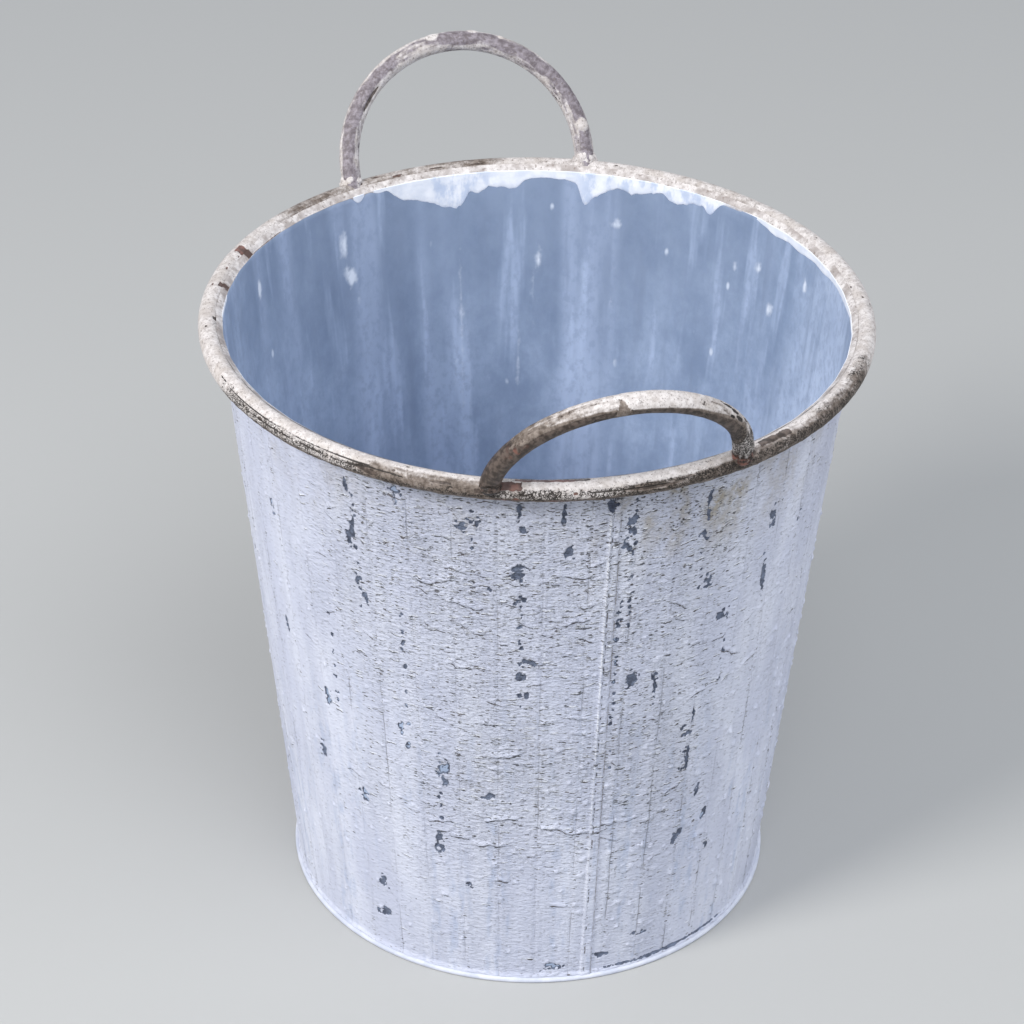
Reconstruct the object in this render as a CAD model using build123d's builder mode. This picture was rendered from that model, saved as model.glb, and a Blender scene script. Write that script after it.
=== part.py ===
from build123d import *

import os
from math import asin, cos, pi, radians, sin, sqrt

# Florist bucket: a tapered bucket of folded galvanised sheet with a steel bar rim and two loop handles.
#
# Units are millimetres. The origin is the centre of the base, on the surface the bucket stands on.
# +Z points up through the mouth. The handles stand over -Y (front) and +Y (rear), and the sheet's
# side seam runs up the front, under the middle of the front handle.

# Driving dimensions
overall_height = 289.0      # floor to the top of the rim
rim_diameter = 295.0        # over the outside of the rim
bar_diameter = 9.0          # round steel bar of the rim and the handles
base_diameter = 218.0       # outside of the wall, where it meets the floor
foot_diameter = 224.0       # outside of the folded seam round the base
sheet = 0.7                 # galvanised sheet
facets = 44                 # flats that the rolling has left in the wall
clearance = 0.3             # between the wall and the rim bar
fold_gap = 0.1              # between the layers of the base seam
wall_above_bar = 1.2        # how far the sheet's top edge rises above the middle of the rim bar

# The rim bar and the wall
bar_radius = bar_diameter / 2
rim_centre_radius = rim_diameter / 2 - bar_radius
rim_height = overall_height - bar_radius
wall_radius_at_rim = rim_centre_radius - bar_radius - clearance
wall_slope = (wall_radius_at_rim - base_diameter / 2) / rim_height
wall_bottom = sheet + fold_gap
wall_top = rim_height + wall_above_bar

# The folded seam round the base
foot_radius = foot_diameter / 2
flange_radius = foot_radius - sheet - 0.3
lip_low = wall_bottom + sheet + fold_gap
foot_height = lip_low + sheet
lip_inner_radius = base_diameter / 2 + 0.8
fold_radius = 0.6

# The side seam of the wall, a hooked fold pressed flat
seam_width = 4.4
seam_height = 1.2
seam_root = 0.4             # how deep the fold is set into the sheet
seam_slit = 0.15            # the open line between its two layers
seam_low = foot_height + 0.4
seam_high = rim_height - bar_radius - 0.6

# The handles: half width, straight leg and outward lean of each loop
handles = {
    "front": {"side": -1, "half_width": 52.5, "leg": 3.5, "lean": 29.0},
    "rear": {"side": 1, "half_width": 56.0, "leg": 10.5, "lean": 36.0},
}
weld_gap = 0.2              # between the end of a handle and the rim
weld_radius = 6.4           # of the bead round each end


def wall_radius(height):
    """Outer radius of the wall, to the creases between its flats."""
    return base_diameter / 2 + wall_slope * height


# Wall: one sheet rolled into a cone, with its bottom edge turned out to a flange
with BuildPart() as wall_sheet:
    for inset, mode in ((0.0, Mode.ADD), (sheet, Mode.SUBTRACT)):
        for height in (wall_bottom, wall_top):
            with BuildSketch(Plane.XY.offset(height)):
                with Locations(Rotation(0, 0, 90 + 180 / facets)):
                    RegularPolygon(wall_radius(height) - inset, facets)
        loft(mode=mode)
    with BuildSketch(Plane.XY.offset(wall_bottom)):
        Circle(flange_radius)
        with Locations(Rotation(0, 0, 90 + 180 / facets)):
            RegularPolygon(wall_radius(wall_bottom) - sheet, facets, mode=Mode.SUBTRACT)
    extrude(amount=sheet)

    # Side seam, on the flat that faces the front
    flat_factor = cos(pi / facets)
    seam_middle = (seam_low + seam_high) / 2
    seam_plane = Plane(
        origin=(0, -wall_radius(seam_middle) * flat_factor, seam_middle),
        x_dir=(1, 0, 0),
        z_dir=(0, -1, -wall_slope * flat_factor),
    )
    seam_length = (seam_high - seam_low) * sqrt(1 + (wall_slope * flat_factor) ** 2)
    with BuildSketch(seam_plane.offset(-seam_root)):
        Rectangle(seam_width, seam_length)
    extrude(amount=seam_root + seam_height)
    with BuildSketch(seam_plane.offset(seam_height / 2)):
        with Locations((-seam_width / 4, 0)):
            Rectangle(seam_width / 2, seam_length)
    extrude(amount=seam_slit, mode=Mode.SUBTRACT)
wall_sheet.part.label = "wall_sheet"

# Base: a flat disc whose edge is folded up and over the wall's flange
with BuildPart() as base_pan:
    with BuildSketch(Plane.XZ) as base_profile:
        with BuildLine():
            Polyline(
                (0, 0),
                (foot_radius, 0),
                (foot_radius, foot_height),
                (lip_inner_radius, foot_height),
                (lip_inner_radius, lip_low),
                (foot_radius - sheet, lip_low),
                (foot_radius - sheet, sheet),
                (0, sheet),
                close=True,
            )
        make_face()
        fold_corners = base_profile.vertices().group_by(Axis.X)[-1]
        fillet(fold_corners, fold_radius)
    revolve(axis=Axis.Z)
base_pan.part.label = "base_pan"

# Rim: a ring of round bar round the outside of the wall's top edge
with BuildPart() as rim_ring:
    with BuildSketch(Plane.XZ):
        with Locations((rim_centre_radius, rim_height)):
            Circle(bar_radius)
    revolve(axis=Axis.Z)
rim_ring.part.label = "rim_ring"

os.makedirs("parts", exist_ok=True)
export_step(wall_sheet.part, "parts/wall_sheet.step")
export_step(base_pan.part, "parts/base_pan.step")
export_step(rim_ring.part, "parts/rim_ring.step")

# Handles: loops of the same bar, their ends shaped to sit on the rim, with a weld bead round each end
for name, loop in handles.items():
    half_width = loop["half_width"]
    leg = loop["leg"]
    lean = radians(loop["lean"])
    chord = rim_centre_radius * cos(asin(half_width / rim_centre_radius))
    rise = Vector(0, loop["side"] * sin(lean), cos(lean))
    across = Vector(1, 0, 0)
    loop_plane = Plane(
        origin=(0, loop["side"] * chord, rim_height),
        x_dir=across,
        z_dir=across.cross(rise),
    )

    with BuildPart() as handle:
        with BuildLine(loop_plane) as loop_path:
            Line((-half_width, 0), (-half_width, leg))
            RadiusArc((-half_width, leg), (half_width, leg), half_width)
            Line((half_width, leg), (half_width, 0))
        loop_start = Plane(origin=loop_path.line @ 0, z_dir=loop_path.line % 0)
        with BuildSketch(loop_start):
            Circle(bar_radius)
        sweep(path=loop_path.line)
        with BuildSketch(Plane.XZ):
            with Locations((rim_centre_radius, rim_height)):
                Circle(bar_radius + weld_gap)
        revolve(axis=Axis.Z, mode=Mode.SUBTRACT)
    handle.part.label = f"handle_{name}"
    export_step(handle.part, f"parts/handle_{name}.step")

    for end, x_side in (("left", -1), ("right", 1)):
        foot = Plane(
            origin=(x_side * half_width, loop["side"] * chord, rim_height),
            x_dir=across,
            z_dir=rise,
        )
        with BuildPart() as weld:
            with Locations(foot.offset(bar_radius)):
                Sphere(weld_radius)
            with BuildSketch(loop_start):
                Circle(bar_radius + weld_gap)
            sweep(path=loop_path.line, mode=Mode.SUBTRACT)
            with BuildSketch(Plane.XZ):
                with Locations((rim_centre_radius, rim_height)):
                    Circle(bar_radius + weld_gap)
            revolve(axis=Axis.Z, mode=Mode.SUBTRACT)
        weld.part.label = f"weld_{name}_{end}"
        export_step(weld.part, f"parts/weld_{name}_{end}.step")
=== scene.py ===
import itertools
from math import cos, hypot, pi, radians, sin, sqrt, tau

import bmesh
import bpy
import numpy as np
from mathutils import Matrix, Vector


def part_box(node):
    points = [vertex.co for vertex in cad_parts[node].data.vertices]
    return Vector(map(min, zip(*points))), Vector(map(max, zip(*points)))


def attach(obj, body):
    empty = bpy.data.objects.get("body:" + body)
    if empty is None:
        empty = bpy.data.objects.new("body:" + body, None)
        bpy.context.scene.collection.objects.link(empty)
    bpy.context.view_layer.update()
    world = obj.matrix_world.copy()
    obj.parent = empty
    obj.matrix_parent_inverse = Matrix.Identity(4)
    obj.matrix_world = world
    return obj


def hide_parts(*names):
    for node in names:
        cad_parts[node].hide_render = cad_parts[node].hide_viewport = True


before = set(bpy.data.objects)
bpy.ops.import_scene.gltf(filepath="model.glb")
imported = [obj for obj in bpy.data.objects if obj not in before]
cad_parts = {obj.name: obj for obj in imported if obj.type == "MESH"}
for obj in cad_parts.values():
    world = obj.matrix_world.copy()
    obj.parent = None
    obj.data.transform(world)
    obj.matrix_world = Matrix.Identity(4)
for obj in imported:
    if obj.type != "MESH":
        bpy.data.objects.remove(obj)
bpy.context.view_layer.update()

# ---------------------------------------------------------------- sizes, all from the frame, in metres
MM = 0.001
rim_low, rim_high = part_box("rim_ring")
wall_low, wall_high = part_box("wall_sheet")
foot_low, foot_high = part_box("base_pan")

bar = (rim_high.z - rim_low.z) / 2          # radius of the steel bar
ring = (rim_high.x - rim_low.x) / 2 - bar    # radius of the rim's centre line
ring_z = (rim_high.z + rim_low.z) / 2
foot = (foot_high.x - foot_low.x) / 2
foot_top = foot_high.z
wall_top = wall_high.z
wall_at_top = (wall_high.x - wall_low.x) / 2  # over the creases
lip_gap = 3.0 * MM                           # how far the folded seam stands out from the wall
wall_at_foot = foot - lip_gap
sheet = 0.7 * MM

FLATS = 44                                   # flats left in the sheet by the rolling
SEAM_AZIMUTH = -pi / 2                       # the side seam faces the front, -Y


# ---------------------------------------------------------------- noise
rng = np.random.default_rng(7)
DIRECTIONS = rng.normal(size=(4096, 3))
DIRECTIONS /= np.linalg.norm(DIRECTIONS, axis=1)[:, None]


def pick(cell, seed):
    """A number from 0 to 4095 for each cell, well mixed."""
    mixed = (cell[0] * 73856093) ^ (cell[1] * 19349663) ^ (cell[2] * 83492791) ^ (seed * 40503)
    mixed = (mixed ^ (mixed >> 13)) * 1274126177
    return (mixed ^ (mixed >> 16)) & 4095


def noise(x, y, z=0.0, seed=0, wrap=0):
    """Smooth noise from about -1 to 1. With wrap, x repeats after that many steps."""
    at = np.broadcast_arrays(x, y, z)
    base = [np.floor(v).astype(np.int64) for v in at]
    part = [v - b for v, b in zip(at, base)]
    fade = [t * t * t * (t * (t * 6 - 15) + 10) for t in part]
    total = np.zeros(at[0].shape)
    for corner in itertools.product((0, 1), repeat=3):
        cell = [b + c for b, c in zip(base, corner)]
        if wrap:
            cell[0] = cell[0] % wrap
        way = DIRECTIONS[pick(cell, seed)]
        weight = np.ones(at[0].shape)
        for f, c in zip(fade, corner):
            weight = weight * (f if c else 1 - f)
        total += weight * sum(way[..., k] * (part[k] - corner[k]) for k in range(3))
    return 1.7 * total


def fbm(x, y, z=0.0, seed=0, wrap=0, octaves=3):
    """Noise with finer noise added to it."""
    total, size = 0.0, 1.0
    for k in range(octaves):
        total = total + size * noise(x * 2**k, y * 2**k, z * 2**k, seed + 31 * k, wrap * 2**k)
        size /= 2
    return total / 1.5


def cells(x, y, z=0.0, seed=0, wrap=0):
    """Distances to the nearest two of scattered points, and a number for the nearest."""
    at = np.broadcast_arrays(x, y, z)
    base = [np.floor(v).astype(np.int64) for v in at]
    near = np.full(at[0].shape, 9.0)
    second = near.copy()
    name = np.zeros(at[0].shape)
    for way in itertools.product((-1, 0, 1), repeat=3):
        cell = [b + s for b, s in zip(base, way)]
        known = [c.copy() for c in cell]
        if wrap:
            known[0] = known[0] % wrap
        key = pick(known, seed)
        offset = DIRECTIONS[key] * 0.5 + 0.5
        d = np.sqrt(sum((cell[k] + offset[..., k] - at[k]) ** 2 for k in range(3)))
        closer = d < near
        second = np.where(closer, near, np.minimum(second, d))
        name = np.where(closer, key / 4096, name)
        near = np.where(closer, d, near)
    return near, second, name


def step(low, high, v):
    """0 below low, 1 above high, and smooth between them."""
    t = np.clip((v - low) / (high - low), 0, 1)
    return t * t * (3 - 2 * t)


def hill(v, width):
    """1 at zero, falling away smoothly on both sides."""
    return np.exp(-((v / width) ** 2))


# ---------------------------------------------------------------- meshes
def round_about(count):
    """Azimuths all the way round, from the side seam."""
    return SEAM_AZIMUTH + np.arange(count) / count * tau


def polar(radius, azimuth, z_mm):
    """Points from a radius in metres, an azimuth and a height in mm."""
    return np.stack([radius * np.cos(azimuth), radius * np.sin(azimuth), z_mm * MM], -1)


def add_fields(mesh, fields):
    """Values at the mesh's points, which its material reads by name."""
    for key, values in fields.items():
        layer = mesh.attributes.new(key, "FLOAT", "POINT")
        layer.data.foreach_set("value", np.asarray(values, np.float32).ravel())


def grid_normals(points, closed):
    """The normal at each point of a grid, from its neighbours."""
    def slope(axis, wraps):
        if wraps:
            return np.roll(points, -1, axis) - np.roll(points, 1, axis)
        return np.gradient(points, axis=axis)

    n = np.cross(slope(1, closed[1]), slope(0, closed[0]))
    return n / np.maximum(np.linalg.norm(n, axis=2), 1e-12)[..., None]


def grid_piece(name, points, material, closed=(False, False), fields=None, normals=None, flip=False):
    """A piece from a grid of points, rows by columns. closed joins the last row or column to the first."""
    rows, cols = points.shape[:2]
    i = np.arange(rows if closed[0] else rows - 1)[:, None]
    j = np.arange(cols if closed[1] else cols - 1)[None, :]
    down, right = (i + 1) % rows, (j + 1) % cols
    corners = [i * cols + j, i * cols + right, down * cols + right, down * cols + j]
    quads = np.stack(np.broadcast_arrays(*corners), -1).reshape(-1, 4)
    if flip:
        quads = quads[:, ::-1]
    mesh = bpy.data.meshes.new(name)
    mesh.vertices.add(rows * cols)
    mesh.vertices.foreach_set("co", points.astype(np.float32).ravel())
    mesh.loops.add(quads.size)
    mesh.loops.foreach_set("vertex_index", quads.astype(np.int32).ravel())
    mesh.polygons.add(len(quads))
    mesh.polygons.foreach_set("loop_start", np.arange(0, quads.size, 4, dtype=np.int32))
    mesh.update(calc_edges=True)
    mesh.polygons.foreach_set("use_smooth", np.ones(len(quads), bool))
    add_fields(mesh, fields or {})
    if normals is not None:
        mesh.normals_split_custom_set_from_vertices(normals.reshape(-1, 3).tolist())
    mesh.materials.append(material)
    obj = bpy.data.objects.new(name, mesh)
    bpy.context.collection.objects.link(obj)
    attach(obj, "root")
    return obj


# ---------------------------------------------------------------- materials
class Value:
    """A number in a material. Arithmetic with it adds math nodes."""

    def __init__(self, shader, socket):
        self.shader, self.socket = shader, socket

    def __add__(self, other):
        return self.shader.math("ADD", self, other)

    def __sub__(self, other):
        return self.shader.math("SUBTRACT", self, other)

    def __mul__(self, other):
        return self.shader.math("MULTIPLY", self, other)


class Shader:
    """A material's node tree, with short calls for the nodes used here."""

    def __init__(self, name, **constants):
        self.material = bpy.data.materials.new(name)
        self.material.use_nodes = True
        self.tree = self.material.node_tree
        self.surface = self.tree.nodes["Principled BSDF"]
        self.place = self.node("ShaderNodeTexCoord").outputs["Object"]
        for key, value in constants.items():
            self.surface.inputs[key.replace("_", " ")].default_value = value

    def put(self, socket, value):
        """Links a value or another node's output to the socket, or sets a constant on it."""
        value = value.socket if isinstance(value, Value) else value
        if isinstance(value, bpy.types.NodeSocket):
            self.tree.links.new(value, socket)
        else:
            socket.default_value = value

    def node(self, kind, inputs=(), **settings):
        n = self.tree.nodes.new(kind)
        for key, value in settings.items():
            setattr(n, key, value)
        for key, value in dict(inputs).items():
            self.put(n.inputs[key], value)
        return n

    def number(self, kind, output, inputs=(), **settings):
        """A node that gives a number."""
        return Value(self, self.node(kind, inputs, **settings).outputs[output])

    def field(self, name):
        """A value stored on the mesh."""
        return self.number("ShaderNodeAttribute", "Fac", attribute_name=name)

    def vector(self, operation, a, b=(0.0, 0.0, 0.0)):
        return self.node("ShaderNodeVectorMath", {0: a, 1: b}, operation=operation).outputs[0]

    def length(self, vector):
        return self.number("ShaderNodeVectorMath", 1, {0: vector}, operation="LENGTH")

    def split(self, vector):
        """The X, Y and Z of a vector."""
        return [Value(self, socket) for socket in self.node("ShaderNodeSeparateXYZ", {0: vector}).outputs]

    def stretched(self, x, y, z):
        return self.vector("MULTIPLY", self.place, (x, y, z))

    def pushed(self, scale, amount, detail=2.0):
        """The place, pushed about by noise: by about a fifth of the amount, and seldom by more than half."""
        inputs = {"Vector": self.place, "Scale": scale, "Detail": detail}
        push = self.node("ShaderNodeTexNoise", inputs).outputs["Color"]
        push = self.vector("SUBTRACT", push, (0.5, 0.5, 0.5))
        return self.vector("ADD", self.place, self.vector("MULTIPLY", push, (amount, amount, amount)))

    def noise(self, scale, stretch=(1, 1, 1), detail=3.0, rough=0.55):
        inputs = {"Vector": self.stretched(*stretch), "Scale": scale, "Detail": detail, "Roughness": rough}
        return self.number("ShaderNodeTexNoise", "Fac", inputs)

    def spots(self, scale, stretch):
        """Distance to the nearest of scattered points."""
        inputs = {"Vector": self.stretched(*stretch), "Scale": scale}
        return self.number("ShaderNodeTexVoronoi", "Distance", inputs, feature="F1")

    def math(self, operation, a, b=0.5):
        return self.number("ShaderNodeMath", 0, {0: a, 1: b}, operation=operation)

    def most(self, first, *others):
        """The largest of some values."""
        for value in others:
            first = self.math("MAXIMUM", first, value)
        return first

    def ramp(self, value, low, high, start=0.0, end=1.0):
        """start below low, end above high, and smooth between them."""
        inputs = {"Value": value, "From Min": low, "From Max": high, "To Min": start, "To Max": end}
        return self.number("ShaderNodeMapRange", 0, inputs, interpolation_type="SMOOTHSTEP")

    def stripe(self, value, middle, inner, outer):
        """1 where value is within inner of the middle, falling to 0 at outer from it."""
        return self.ramp(self.math("ABSOLUTE", value - middle), inner, outer, 1.0, 0.0)

    def cuts(self, place, wide, tall, share, thick):
        """Short level cracks, each under a lip of paint: the cracks, and the lips.

        Each has a cell of about wide by tall to itself. share is how many of the cells have one, from 0 to 1,
        and thick is half a crack's height, in cells.
        """
        at = self.vector("MULTIPLY", place, (1.0, 1.0, wide / tall))
        found = self.node("ShaderNodeTexVoronoi", {"Vector": at, "Scale": 1 / wide}, feature="F1")
        away = self.vector("SUBTRACT", at, found.outputs["Position"])
        away = self.vector("MULTIPLY", away, (1 / wide, 1 / wide, 1 / wide))
        up = self.split(away)[2]
        side = self.length(self.vector("MULTIPLY", away, (1.0, 1.0, 0.0)))
        chance = self.split(found.outputs["Color"])[0]
        there = self.ramp(share - chance, 0.0, 0.06) * self.ramp(side, 0.18, 0.47, 1.0, 0.0)
        inside = there * thick - self.math("ABSOLUTE", up)
        lip = self.ramp(up, 0.02, 0.14) * self.ramp(up, 0.16, 0.50, 1.0, 0.0)
        return self.ramp(inside, 0.0, 0.05), lip * there

    def mix(self, factor, a, b):
        """a where the factor is 0 and b where it is 1; both are colours."""
        n = self.node("ShaderNodeMix", data_type="RGBA")
        self.put(n.inputs[0], factor)
        for socket, colour in ((n.inputs[6], a), (n.inputs[7], b)):
            self.put(socket, (*colour, 1.0) if isinstance(colour, tuple) else colour)
        return n.outputs[2]

    def bump(self, height, depth, under=None):
        inputs = {"Height": height, "Distance": depth, "Strength": 1.0}
        if under is not None:
            inputs["Normal"] = under
        return self.node("ShaderNodeBump", inputs).outputs[0]

    def finish(self, colour, roughness, normal):
        for key, value in (("Base Color", colour), ("Roughness", roughness), ("Normal", normal)):
            self.put(self.surface.inputs[key], value)
        return self.material


def wall_paint():
    """Thick white paint, wrinkled into small level cracks drawn near-black as painted shadow under their
    lips, chipped down to the zinc; with painted highlights on the lips and painted shade in hollows, creases
    and on some flats.
    """
    s = Shader("wall_paint", Specular_IOR_Level=0.35)
    ragged = s.noise(420, (1, 1, 0.8), 3) + s.noise(1400, detail=3) * 0.5
    chipped = s.ramp(ragged * 1.1 + s.field("chip"), 0.88, 0.98)

    # Where each place lies between the creases, and from the side seam
    x, y, z = s.split(s.place)
    radius = s.length(s.stretched(1, 1, 0))
    turn = s.math("ARCTAN2", y, x) - SEAM_AZIMUTH
    wander = (s.noise(90, (1, 1, 0.5)) - 0.5) * (1.6 * MM)
    across = (s.math("FRACT", turn * (FLATS / tau)) - 0.5) * (radius * (tau / FLATS)) + wander
    from_seam = turn * radius
    by_crease = s.stripe(across, 0.0, 0.5 * MM, 2.8 * MM)
    strong = s.ramp(s.noise(26, (1, 1, 0.35)), 0.42, 0.58)
    # Painted shade: a thin dark line down each crease, broken by noise, stronger in places
    crease = s.stripe(across, 0.0, 0.12 * MM, 0.40 * MM) * s.ramp(s.noise(170, (1, 1, 0.25)), 0.44, 0.56)
    crease = crease * (strong * 0.6 + 0.25)

    # Cracks: short ones in columns along the creases, longer ones anywhere, and those under the mesh's folds
    uneven = s.noise(420, detail=2)
    share = by_crease * strong * 0.45 + s.field("notch")
    thick = s.ramp(uneven, 0.35, 0.65, 0.10, 0.32)
    small, small_lip = s.cuts(s.pushed(620, 1.0 * MM), 2.7 * MM, 1.15 * MM, share, thick)
    thick = s.ramp(uneven, 0.35, 0.7, 0.05, 0.20)
    long, long_lip = s.cuts(s.pushed(260, 3.0 * MM, 4), 6.5 * MM, 2.2 * MM, s.field("ledge"), thick)
    fine, fine_lip = s.cuts(s.pushed(900, 0.7 * MM), 1.8 * MM, 0.80 * MM, share * 0.7 + 0.22, 0.26)
    jagged = (s.noise(520, detail=4) - 0.5) * 2.2
    gap = s.math("ABSOLUTE", s.field("gap") + jagged)
    gap = s.field("open") * s.ramp(uneven, 0.36, 0.66, 0.12, 0.75) - gap
    full = s.ramp(s.noise(260, (1, 1, 1.4), 3, 0.6), 0.36, 0.52, 0.40, 1.0)
    line = s.most(s.most(small, long) * full, fine * 0.36, s.ramp(gap, 0.0, 0.14), crease * 0.55)
    pits = s.ramp(s.spots(430, (1, 1, 1.4)), 0.28, 0.16)
    pits = pits * s.ramp(s.noise(200, detail=3) + s.field("pitted"), 0.98, 1.06)

    # The seam: a painted highlight on its raised edge, dark dots just beside it, and a brown line where it
    # ends
    dots = s.stripe(from_seam, -0.9 * MM, 0.15 * MM, 0.5 * MM) * s.ramp(s.noise(520), 0.50, 0.60)
    brown = s.stripe(from_seam, 2.5 * MM, 0.1 * MM, 0.5 * MM) * s.ramp(s.noise(300, (1, 1, 0.6)), 0.36, 0.60)
    ridge = s.stripe(from_seam, -2.0 * MM, 0.1 * MM, 0.45 * MM) * s.ramp(z, 50 * MM, 160 * MM, 0.25, 1.0)
    ridge = ridge * s.ramp(s.noise(260, (1, 1, 0.4)), 0.38, 0.60, 0.1, 0.8)

    # Colour
    tone = s.ramp(s.noise(42, (1, 1, 0.30), 4), 0.35, 0.68)
    colour = s.mix(tone, (0.610, 0.638, 0.770), (0.735, 0.760, 0.870))
    colour = s.mix(s.ramp(s.noise(150, (1, 1, 0.06), 3), 0.44, 0.66, 0, 0.40), colour, (0.53, 0.555, 0.67))
    skin = s.noise(330, (1, 1, 2.4), 4, 0.62)
    relief = s.field("relief")
    # Painted shade in the hollows of the skin's relief and painted highlight on its tops, from the noise that
    # also drives its bump
    colour = s.mix(relief * s.ramp(skin, 0.28, 0.47, 0.50, 0.0), colour, (0.34, 0.355, 0.43))
    colour = s.mix(relief * s.ramp(skin, 0.55, 0.70, 0.0, 0.5), colour, (0.86, 0.88, 0.94))
    speckle = s.noise(1000, (1, 1, 1.3), 3, 0.7)
    colour = s.mix(s.ramp(speckle, 0.56, 0.74, 0, 0.34), colour, (0.33, 0.35, 0.43))
    # Painted shade on each flat, from the mesh
    colour = s.mix(s.field("painted_flat_shade") * 0.5, colour, (0.36, 0.38, 0.48))
    thin = s.field("thin") * s.ramp(s.noise(240, (1, 1, 0.35), 4), 0.40, 0.66)
    colour = s.mix(thin * 0.50, colour, (0.36, 0.43, 0.60))
    dirt = s.field("dirt") * s.ramp(s.noise(400, detail=4), 0.24, 0.58)
    colour = s.mix(dirt, colour, (0.37, 0.32, 0.24))
    # Painted highlight: the lips above the cracks and the seam's raised edge drawn near-white
    light = s.most(small_lip, long_lip, ridge, fine_lip * 0.5)
    colour = s.mix(light * 0.75, colour, (0.90, 0.92, 0.97))
    colour = s.mix(brown * 0.60, colour, (0.17, 0.13, 0.11))
    # Painted shadow: the cracks and the crease lines are drawn near-black, as the shade under each lip and
    # down each crease; the seam's dots take the same dark
    dark = s.mix(s.ramp(s.noise(90), 0.44, 0.60), (0.024, 0.024, 0.030), (0.062, 0.043, 0.034))
    colour = s.mix(s.most(line, dots) * 0.84, colour, dark)
    colour = s.mix(pits * 0.92, colour, (0.020, 0.017, 0.016))
    faint = s.field("faint") * s.ramp(s.noise(140, detail=3), 0.40, 0.62, 0, 0.6)
    zinc = s.mix(s.ramp(s.noise(300, detail=4), 0.35, 0.7), (0.078, 0.092, 0.135), (0.185, 0.22, 0.31))
    colour = s.mix(chipped, colour, s.mix(faint, zinc, (0.50, 0.55, 0.70)))

    # Relief
    normal = s.bump(s.most(long_lip, small_lip * 0.7, fine_lip * 0.35), 0.42 * MM)
    normal = s.bump((skin - 0.5) * relief, 2.4 * MM, normal)
    normal = s.bump(s.most(line, pits), -0.35 * MM, normal)
    normal = s.bump(chipped, -0.25 * MM, normal)
    return s.finish(colour, s.ramp(chipped, 0, 1, 0.62, 0.45), normal)


def bare_zinc():
    """Weathered zinc inside the bucket: blue-grey, cloudy, with runs down it and white specks; lighter and
    darker where the mesh paints light and shade on it.
    """
    s = Shader("bare_zinc", Specular_IOR_Level=0.7)
    cloud = s.noise(34, (1, 1, 0.7), 6, 0.68)
    runs = s.noise(80, (1, 1, 0.05), 3, 0.6)
    bands = s.noise(30, (1, 1, 0.04), 2)
    grain = s.noise(300, (1, 1, 0.7), 5, 0.65)
    painted_light_and_shade = s.field("painted_light_and_shade")
    colour = s.mix(s.ramp(cloud, 0.30, 0.70), (0.225, 0.292, 0.420), (0.375, 0.462, 0.620))
    # Painted light and shade: lighter where the mesh's field is above zero, darker where it is below
    colour = s.mix(painted_light_and_shade * s.ramp(cloud, 0.3, 0.6, 0.5, 1.0), colour, (0.56, 0.65, 0.82))
    colour = s.mix(painted_light_and_shade * -0.8, colour, (0.17, 0.22, 0.32))
    colour = s.mix(s.ramp(bands, 0.46, 0.66, 0, 0.55), colour, (0.50, 0.59, 0.78))
    colour = s.mix(s.ramp(runs, 0.54, 0.72, 0, 0.50), colour, (0.54, 0.64, 0.84))
    colour = s.mix(s.ramp(runs, 0.30, 0.46, 0.50, 0.0), colour, (0.21, 0.265, 0.375))
    colour = s.mix(s.ramp(grain, 0.44, 0.66, 0, 0.45), colour, (0.24, 0.30, 0.43))
    speck = s.ramp(s.spots(110, (1, 1, 0.5)), 0.16, 0.06) * s.ramp(s.noise(40), 0.58, 0.66)
    colour = s.mix(speck * 0.8, colour, (0.70, 0.76, 0.86))
    ragged = s.noise(260, (1, 1, 0.6), 3) * 0.8 + s.field("mark")
    colour = s.mix(s.ramp(ragged, 0.55, 1.15), colour, (0.78, 0.83, 0.92))
    return s.finish(colour, s.ramp(cloud, 0.3, 0.7, 0.40, 0.54), s.bump(grain, 0.05 * MM))


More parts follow.
